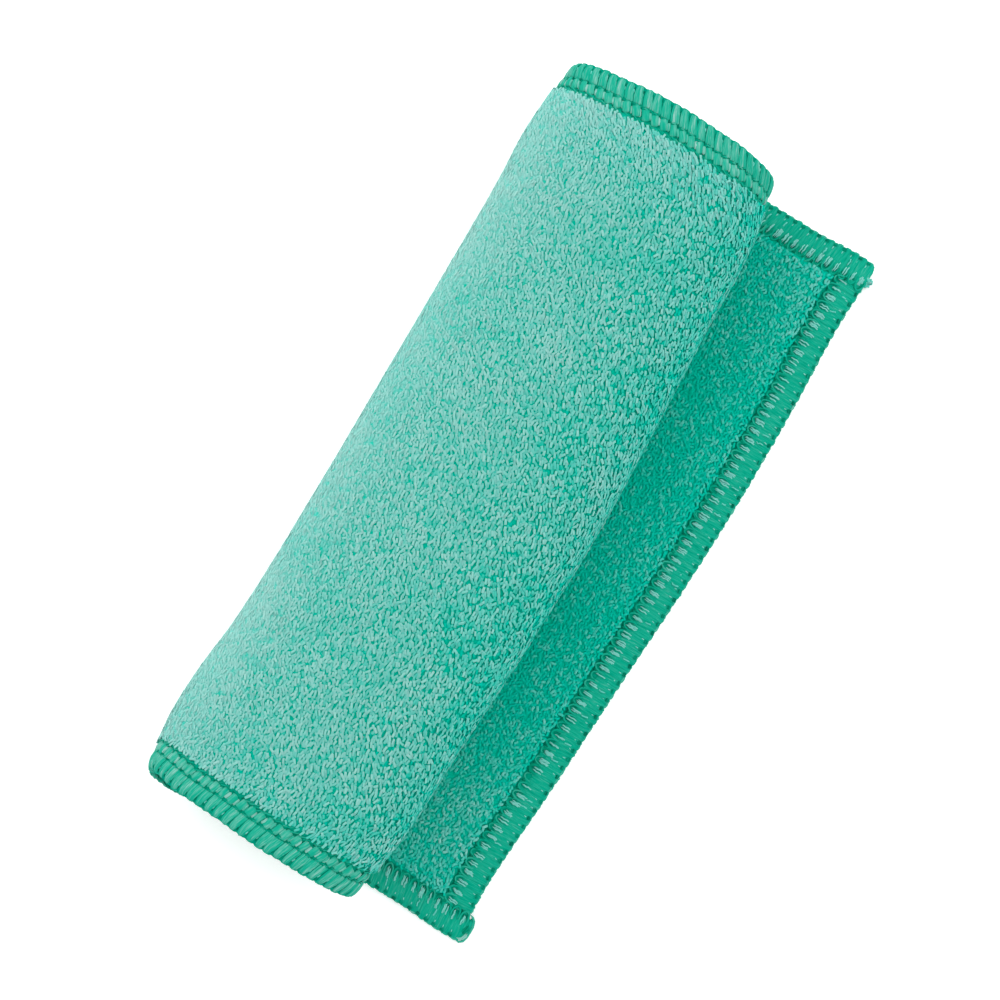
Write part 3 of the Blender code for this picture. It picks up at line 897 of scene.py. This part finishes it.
# Each point of a path: u, v, n. First the outer face and the rim, in ribs, bumps, needle rows, and a notch
# and dots of painted shade in the holes.
STRAND = ((-0.1, 4.45, 0.45), (-0.08, 4.15, 0.86), (0.02, 2.8, 1.02), (0.2, 1.4, 0.96), (0.46, 0.5, 0.7),
          (0.62, 0.14, 0.1), (0.66, 0.4, -0.4), (0.66, 1, -0.55), (0.66, 1.5, -0.3))
WRAP_PLAIN = ((0.34, 4.4, 0.45), (0.3, 4.05, 0.8), (0.16, 2.6, 0.98), (0.04, 1.1, 0.92), (0, 0.36, 0.62),
              (0, 0.12, 0), (0, 0.45, -0.5), (0, 1, -0.84), (0, 2.8, -0.9), (0, 4.2, -0.8), (0, 4.7, -0.45))
BUMP = ((-0.35, 4.78, 0.45), (-0.35, 5, 0.84), (-0.35, 6.05, 1), (-0.35, 7.05, 0.86), (-0.35, 7.28, 0.45))
BUMP_SPECK = ((0.92, 5.05, 0.45), (0.92, 5.3, 0.86), (0.9, 6, 1), (0.88, 6.6, 0.88), (0.88, 6.9, 0.45))
RIM_CORD = ((-1.45, 0.42, 0.52), (-0.8, 0.2, 0.52), (0, 0.1, 0.42), (0.8, 0.2, 0.52), (1.45, 0.42, 0.52))
RIM_NOTCH = ((1.62, 0.5, 0.4), (1.5, 0.85, 0.8), (1.36, 1.25, 0.88), (1.25, 1.7, 0.6))
RIM_SPECK = ((1.3, 1.2, 0.5), (1.18, 1.6, 0.86), (1.16, 2.05, 0.86), (1.2, 2.5, 0.5))
OUTER_NEEDLE = ((-1, 4.66, 0.6), (-0.5, 4.6, 0.92), (0.1, 4.62, 0.94), (0.6, 4.66, 0.6))
OUTER_DOT = ((0.7, 4.2, 0.5), (0.85, 4.5, 0.84), (1.05, 4.75, 0.84), (1.2, 4.95, 0.5))
INNER_NEEDLE = ((-1.2, 7.35, 0.6), (-0.6, 7.5, 1.05), (0.2, 7.9, 1.15), (0.9, 8.2, 1.1), (1.3, 8.3, 0.6))
INNER_DOT = ((0.75, 7.1, 0.5), (0.9, 7.35, 0.92), (1.05, 7.6, 0.95), (1.2, 7.85, 0.5))
# Then the inner face: flat strands, looper, its dark strand of painted shade, the strand between two loopers,
# dots of painted shade in holes, beads, tufts and specks.
SATIN = ((0, 0.02, -0.3), (0, 0.3, -0.8), (0, 2.3, -0.98), (0, 4.6, -0.98), (0, 5.7, -0.9), (0, 6.3, -0.6))
LOOPER_U = ((-1, 4.7, -0.8), (-1.08, 5.4, -1.06), (-1.1, 6.2, -1.16), (-0.92, 7.1, -1.22),
            (-0.5, 7.72, -1.25), (0, 7.92, -1.25), (0.5, 7.72, -1.25), (0.92, 7.1, -1.22),
            (1.1, 6.2, -1.16), (1.08, 5.4, -1.06), (1, 4.7, -0.8))
BETWEEN = ((1.275, 3.8, -0.75), (1.275, 4.6, -0.98), (1.275, 5.5, -1), (1.275, 6.2, -0.95),
           (1.275, 6.6, -0.7))
BETWEEN_DOT = ((1.275, 6.7, -0.8), (1.275, 6.95, -1.22), (1.275, 7.55, -1.3), (1.275, 7.85, -0.8))
EDGE_BEAD = ((-0.95, 0.46, -0.6), (-0.55, 0.22, -0.74), (0, 0.12, -0.7), (0.55, 0.22, -0.74),
             (0.95, 0.46, -0.6))
EDGE_DOT = ((0.7, 0.66, -0.86), (0.8, 0.7, -1.14), (1.66, 0.84, -1.16), (1.8, 0.88, -0.86))
TUFT = ((0, 4, -0.6), (-0.06, 4.55, -1.14), (0.08, 5.2, -1.26), (-0.06, 5.85, -1.28), (0.06, 6.5, -1.2),
        (0, 7, -0.6))
GLINT = ((0, 2, -0.7), (0.05, 2.35, -1.1), (0, 3, -1.2), (-0.05, 3.6, -1.1), (0, 4, -0.7))
EDGE_SPECK = ((1.27, 1.35, -0.6), (1.27, 1.6, -1.04), (1.3, 1.95, -1.1), (1.27, 2.4, -0.6))
LOOPER_SHADE = np.array(LOOPER_U)[1:-1] + (0, 0, 0.18)    # painted shade: a dark strand just below the looper thread
print("stitches on a long side of the cloth:", round(CLOTH_LENGTH / (STITCH * MM)))


def fanned(row, aside, up):
    """A strand of a rib: moved aside and up, and less so at the rim, which gives the rib its tail."""
    path = np.array(row)
    share = RIB_TAIL + (1 - RIB_TAIL) * smooth_step(*RIB_SPREADS, path[:, 1]) * (path[:, 2] > 0)
    path[:, 0] += aside * share
    path[:, 2] += up * (path[:, 2] > 0)
    return path


# %% [markdown]
# Each thread below is one path with its width and thickness in millimetres and its look: pale
# is how much lighter its top is painted, which is painted light; tone moves the whole thread
# lighter or darker, far darker for the painted shade of holes and hollows; vary is how much one
# stitch differs from the next; and wander is how far it strays. A thread marked inner is laid
# only where the inner face shows, and one with keep only in that share of the stitches. Its
# number is added to the edge's seed, so that each thread strays in a way of its own.

# %% The threads of a stitch
# A rib's strands: aside, up, tone. The satin's: shift. Dots of painted shade in holes: path, width. Tufts:
# keep, shift.
# the middle strands of a rib are painted paler and the outer ones darker: painted light on its crown, painted
# shade on its sides
STRANDS = ((-0.78, -0.07, -0.26), (-0.27, 0.05, 0.09), (0.27, 0.05, -0.01), (0.78, -0.07, -0.26))
SATIN_SHIFTS = (-1.06, -0.64, -0.21, 0.21, 0.64, 1.06)
HOLE_SHADE_DOTS = ((RIM_NOTCH, 0.16), (OUTER_DOT, 0.20), (INNER_DOT, 0.20), (BETWEEN_DOT, 0.46), (EDGE_DOT, 0.54))
TUFTS = ((0.7, -0.42), (0.85, -0.14), (0.85, 0.17), (0.6, 0.44))
GLINTS = ((0.3, -0.3), (0.2, 0.2))

SEAM_THREADS = [
    *(dict(number=40 + k, rows=fanned(STRAND, aside, up), wide=0.44, tall=0.32, sides=5, wrapped=True,
           pale=0.7, tone=tone, soft=0.6) for k, (aside, up, tone) in enumerate(STRANDS)),
    *(dict(number=20 + k, rows=SATIN, shift=shift, wide=0.52, tall=0.12, inner=True, wander=0.04,
           pale=0.0, tone=-0.16, vary=0.5, soft=0.8) for k, shift in enumerate(SATIN_SHIFTS)),
    dict(number=3, rows=BUMP, wide=0.98, tall=0.32, sides=8, pale=0.6, tone=-0.05, vary=0.6),
    dict(number=14, rows=BUMP_SPECK, wide=0.36, tall=0.28, sides=6, wander=0.14, pale=0.4, tone=0.95,
         vary=1.5, soft=0.8),
    dict(number=6, rows=OUTER_NEEDLE, wide=0.22, tall=0.20, pale=0.0, tone=-0.1),
    dict(number=7, rows=INNER_NEEDLE, wide=0.22, tall=0.20, wander=0.14, pale=0.2, tone=-0.4),
    dict(number=8, rows=INNER_NEEDLE, shift=1.3, wide=0.20, tall=0.18, wander=0.20, pale=0.2, tone=-0.3),
    dict(number=17, rows=RIM_CORD, shift=0.7, wide=0.24, tall=0.24, pale=0.2, tone=-0.5),
    dict(number=9, rows=LOOPER_U, wide=0.28, tall=0.20, inner=True, wander=0.12, pale=0.1, tone=-0.2),
    dict(number=18, rows=LOOPER_SHADE, wide=0.46, tall=0.12, inner=True, wander=0.12, pale=0.0, tone=-1.0),
    dict(number=10, rows=BETWEEN, wide=0.24, tall=0.20, inner=True, pale=0.1, tone=-0.2),
    dict(number=11, rows=EDGE_BEAD, wide=0.34, tall=0.26, pale=0.4),
    *(dict(number=50 + k, rows=rows, wide=wide, tall=0.16, inner=rows is BETWEEN_DOT, wander=0.08,
           pale=0.0, tone=-1.6) for k, (rows, wide) in enumerate(HOLE_SHADE_DOTS)),
]
SEAM_TUFTS = [
    *(dict(number=90 + k, rows=TUFT, keep=keep, shift=shift, wide=0.21, tall=0.20, inner=True,
           wander=0.14, pale=0.78, soft=0.85) for k, (keep, shift) in enumerate(TUFTS)),
    *(dict(number=70 + k, rows=GLINT, keep=keep, shift=shift, wide=0.22, tall=0.12, inner=True,
           wander=0.30, pale=0.68, soft=0.85) for k, (keep, shift) in enumerate(GLINTS)),
    dict(number=15, rows=EDGE_SPECK, wide=0.16, tall=0.14, wander=0.10, pale=0.78, soft=0.85),
    dict(number=16, rows=RIM_SPECK, wide=0.18, tall=0.16, wander=0.10, pale=0.7, soft=0.85),
]
PLAIN_THREADS = [                 # between the inner turns only the rim shows: one broad thread a stitch
    dict(number=0, rows=WRAP_PLAIN, wide=1.12, tall=0.45, sides=5, wrapped=True, pale=0.6, tone=-0.2),
    dict(number=1, rows=EDGE_BEAD, wide=0.28, tall=0.28, pale=0.4),
]
print("threads of a stitch:", len(SEAM_THREADS), "and yarn in it:", len(SEAM_TUFTS))

# %% Laying threads along an edge
INNER_FACE_SHOWS = 0.070          # the sides' inner face shows up to here, and then is inside the roll
THREAD_UNEVEN = (0.92, 1.08)      # a thread's thickness differs by this from stitch to stitch
PEEPING_RUB = 1.1                 # yarn that peeps through the seam is well rubbed, more the paler it is
WRAP_STEP = 0.5                   # mm along the edge, which shows a wrapped thread its side
TURN_OF_EDGE = {"free": -1, "core": 1, "near side": 1, "far side": -1}    # so that its top is outside
KEEP_SEED = -10                   # the choice of stitches has a seed of its own, this far from the thread's


def edge_to_cloth(edge, u, v):
    """Cloth coordinates of a place u along an edge and v in from it, both in metres."""
    return {"free": (v, u), "core": (CLOTH_LENGTH - v, u), "near side": (u, v - CLOTH_WIDTH / 2),
            "far side": (u, CLOTH_WIDTH / 2 - v)}[edge]


def lay_threads(edge, places, seed, number, rows, wide, tall, shift=0.0, sides=4, wander=0.06, inner=False,
                keep=1.0, wrapped=False, pale=1.0, tone=0.0, vary=1.0, soft=SOFT_NORMALS):
    """One path of a stitch, laid at every place along an edge: a dictionary of ring points and faces.

    A stitch strays as a whole by wander, and each of its points by a third of that. The ring's
    side is the way along the edge for a wrapped thread, and square to the path for any other.
    """
    if inner:
        places = places[(places < INNER_FACE_SHOWS) | (edge == "free")]
    if keep < 1:
        chance = np.random.default_rng(seed + number + KEEP_SEED).uniform(size=len(places))
        places = places[chance < keep]
    random = np.random.default_rng(seed + number)
    rows = np.array(rows) * MM
    count = len(places)
    loose = random.normal(0.0, wander * MM, (count, 1, 3))
    loose = loose + random.normal(0.0, wander * MM / 3, (count, len(rows), 3))
    local = rows[None] + loose
    u = places[:, None] + shift * MM + local[..., 0]
    paths, up = on_cloth(*edge_to_cloth(edge, u, local[..., 1]), local[..., 2])
    if wrapped:
        beside = u + TURN_OF_EDGE[edge] * WRAP_STEP * MM
        side = on_cloth(*edge_to_cloth(edge, beside, local[..., 1]), local[..., 2])[0] - paths
    else:
        face = 1 if rows[len(rows) // 2, 2] > 0 else -1
        side = np.cross(up * face, np.gradient(paths, axis=1))
    thick = random.uniform(*THREAD_UNEVEN, (count, 1)) * np.ones(len(rows))
    points, normals, triangles, quads, step_of, round_of = carry_ring(
        paths, side, wide * MM * thick, tall * MM * thick, sides, soft=soft)
    length = np.linalg.norm(np.diff(paths, axis=1), axis=2).cumsum(axis=1) / MM
    length = np.concatenate([np.zeros((count, 1)), length], axis=1)[:, step_of]
    shade = 0.5 + vary * np.repeat(random.uniform(-0.5, 0.5, count)[:, None], length.shape[1], axis=1)
    # a thread's top is painted paler, painted light, and a low tone paints the shade of holes and hollows
    tip = tone + np.tile(pale * (1 + np.sin(round_of * 2 * np.pi - np.pi / 2)) / 2, count)
    return {"points": points, "normals": normals, "triangles": triangles, "quads": quads,
            "length": length.ravel(), "round": np.tile(round_of, count), "shade": shade.ravel(), "tip": tip,
            "rubbed_and_lit": np.full(length.size, PEEPING_RUB * pale)}


def sew(edge, start, end, seed, threads):
    """Every thread of a list, laid at each stitch of an edge from start to end."""
    places = np.arange(start, end, STITCH * MM) + STITCH * MM / 2
    return [lay_threads(edge, places, seed, **each) for each in threads]


def join_threads(name, parts, material, keys):
    """One piece from several dictionaries of threads, with the attributes that its material reads."""
    offsets = np.cumsum([0] + [len(p["points"]) for p in parts[:-1]])
    faces = [np.concatenate([p[key] + o for p, o in zip(parts, offsets)]) for key in ("triangles", "quads")]
    joined = {key: np.concatenate([p[key] for p in parts]) for key in ("points", "normals") + keys}
    attributes = {key: joined[key] for key in keys}
    return new_piece(name, joined["points"], faces, [material], attributes, normals=joined["normals"])


# %% The seam along each edge
THREAD_KEYS = ("length", "round", "shade", "tip")
YARN_KEYS = ("tip", "rubbed_and_lit")
FREE_EDGE_END = CLOTH_WIDTH / 2 - BAND_WIDTH * 0.9    # the free edge's stitches end inside the sides' hems
NEAR_SIDE_START = -0.0001         # metres; each side's stitches meet the loose end's as in the photograph
FAR_SIDE_START = 0.0002

seam_tufts = []
for name, edge, start, end, seed in (
        ("overlock_loose_end", "free", -FREE_EDGE_END, FREE_EDGE_END, 100),
        ("overlock_near_side", "near side", NEAR_SIDE_START, SEAM_OUTER_END, 200),
        ("overlock_far_side", "far side", FAR_SIDE_START, SEAM_OUTER_END, 300)):
    threads = sew(edge, start, end, seed, SEAM_THREADS)
    join_threads(name, threads, thread, THREAD_KEYS)
    seam_tufts += sew(edge, start, end, seed, SEAM_TUFTS)
plain = sew("near side", SEAM_OUTER_END, CLOTH_LENGTH, 400, PLAIN_THREADS)
plain += sew("far side", SEAM_OUTER_END, CLOTH_LENGTH, 410, PLAIN_THREADS)
plain += sew("core", -FREE_EDGE_END, FREE_EDGE_END, 420, PLAIN_THREADS)
join_threads("overlock_inner_turns", plain, thread, THREAD_KEYS)

# %% [markdown]
# Two small accidents of sewing tell this cloth from a drawing of it. At the near corner the seam
# runs on past the loose end as a short stub, bound round by its own thread. At the far corner a
# few cut fibres of the pile stand out from the edge.

# %% The stub and the frayed corner
STUB_RIB = ((0.2, 0.5, 0), (0.06, 1.1, 0), (-0.12, 3.6, 0), (-0.06, 5.9, 0), (0.2, 6.6, 0))
STUB_BINDING = ((0.9, 0.15, -0.5), (-0.5, 0.05, -0.55), (-1.45, 0.7, -0.55), (-1.85, 1.9, -0.5),
                (-1.95, 3.4, -0.45), (-1.95, 5, -0.45), (-1.6, 6.3, -0.5), (-0.8, 7.1, -0.65),
                (0.3, 7.6, -0.85))
STUB_END = ((0.6, 0.75, -0.7), (-0.3, 0.8, -0.95), (-1, 1.3, -0.95), (-1.45, 2.2, -0.8), (-1.6, 3, -0.5))
# painted shade: a dark flat thread where the stub's hollow lies
STUB_HOLLOW_SHADE = ((-0.1, 2, -0.7), (-0.4, 2.7, -1.02), (-0.9, 4, -1.04), (-1, 5, -0.7))
FRAY = ((0, 1.2, -0.3), (0.3, 0.2, -0.8), (-0.3, -0.45, -0.6), (0.3, -1, -0.72), (-0.2, -1.3, -0.4))
STUB_SHIFTS = (-1.40, -0.90, -0.40, 0.15)
FRAY_PLACES = (3.4, 3.9, 4.3, 4.6, 5.0, 5.3, 5.7, 6.2)    # mm in from the far side
STUB_THREADS = [
    *(dict(number=k, rows=STUB_RIB, shift=shift, wide=0.50, tall=0.80, sides=8, pale=0.2, tone=-0.9)
      for k, shift in enumerate(STUB_SHIFTS)),
    dict(number=10, rows=STUB_BINDING, wide=0.32, tall=0.32, sides=6, pale=0.6),
    dict(number=11, rows=STUB_END, wide=0.30, tall=0.20, sides=6, pale=1.4, tone=0.8),
    dict(number=12, rows=STUB_END, shift=0.35, wide=0.26, tall=0.20, sides=6, pale=1.4, tone=0.6),
    dict(number=13, rows=STUB_HOLLOW_SHADE, wide=0.60, tall=0.14, sides=6, pale=0.0, tone=-1.6),
]
corner = np.array([0.0])
stub = [lay_threads("near side", corner, 430, **each) for each in STUB_THREADS]
join_threads("overlock_stub", stub, thread, THREAD_KEYS)
fray_places = CLOTH_WIDTH / 2 - np.array(FRAY_PLACES) * MM
seam_tufts.append(lay_threads("free", fray_places, 450, 0, FRAY, wide=0.36, tall=0.36, wander=0.45, pale=0.7))
join_threads("pile_in_the_seam", seam_tufts, terry_outer, YARN_KEYS)

# %% [markdown]
# ## Floor and light
#
# A plain white floor, a broad soft light from the picture's upper left, and a broader one from
# the right that fills its shadows, as in the photograph. Because both are broad, the roll's
# shadow on the loose end has no edge. The floor shines a little itself, as a light table does,
# so that the shadows on it stay faint.

# %% Floor, light and surroundings
WHITE = (1.0, 1.0, 1.0, 1.0)
FLOOR_HALF = 1.5
FLOOR_GLOW = 0.26
WORLD_STRENGTH = 0.80

floor_material, floor_tree, floor_shader = new_material("matt white paper floor")
fill(floor_tree, floor_shader, {"Base Color": linear(FLOOR_WHITE), "Roughness": 0.9, "Emission Color": WHITE,
                                "Emission Strength": FLOOR_GLOW})
floor_mesh = bpy.data.meshes.new("floor")
corners = [(FLOOR_HALF * x, FLOOR_HALF * y, 0) for x, y in ((-1, -1), (1, -1), (1, 1), (-1, 1))]
floor_mesh.from_pydata(corners, [], [(0, 1, 2, 3)])
floor_mesh.materials.append(floor_material)
floor = bpy.data.objects.new("floor", floor_mesh)
bpy.context.scene.collection.objects.link(floor)


def soft_light(name, right_share, up_share, height, distance, size, power):
    """A square area light that lies in the picture's direction (right, up) and points at the cloth."""
    data = bpy.data.lights.new(name, "AREA")
    data.size = size
    data.energy = power
    place = (right * right_share + up * up_share) * distance + Vector((0, 0, height))
    lamp = bpy.data.objects.new(name, data)
    lamp.location = place
    lamp.rotation_euler = (-place).to_track_quat("-Z", "Y").to_euler()
    bpy.context.scene.collection.objects.link(lamp)
    print(name, "at, m:", [round(x, 2) for x in place])


soft_light("key light", right_share=-0.8, up_share=0.85, height=0.85, distance=0.8, size=0.8, power=5.0)
soft_light("fill light", right_share=0.7, up_share=0.3, height=1.2, distance=0.8, size=1.2, power=7.0)
world = bpy.data.worlds.new("studio")
world.use_nodes = True
fill(world.node_tree, world.node_tree.nodes["Background"], {"Color": WHITE, "Strength": WORLD_STRENGTH})
bpy.context.scene.world = world
bpy.context.scene.view_settings.view_transform = "Standard"
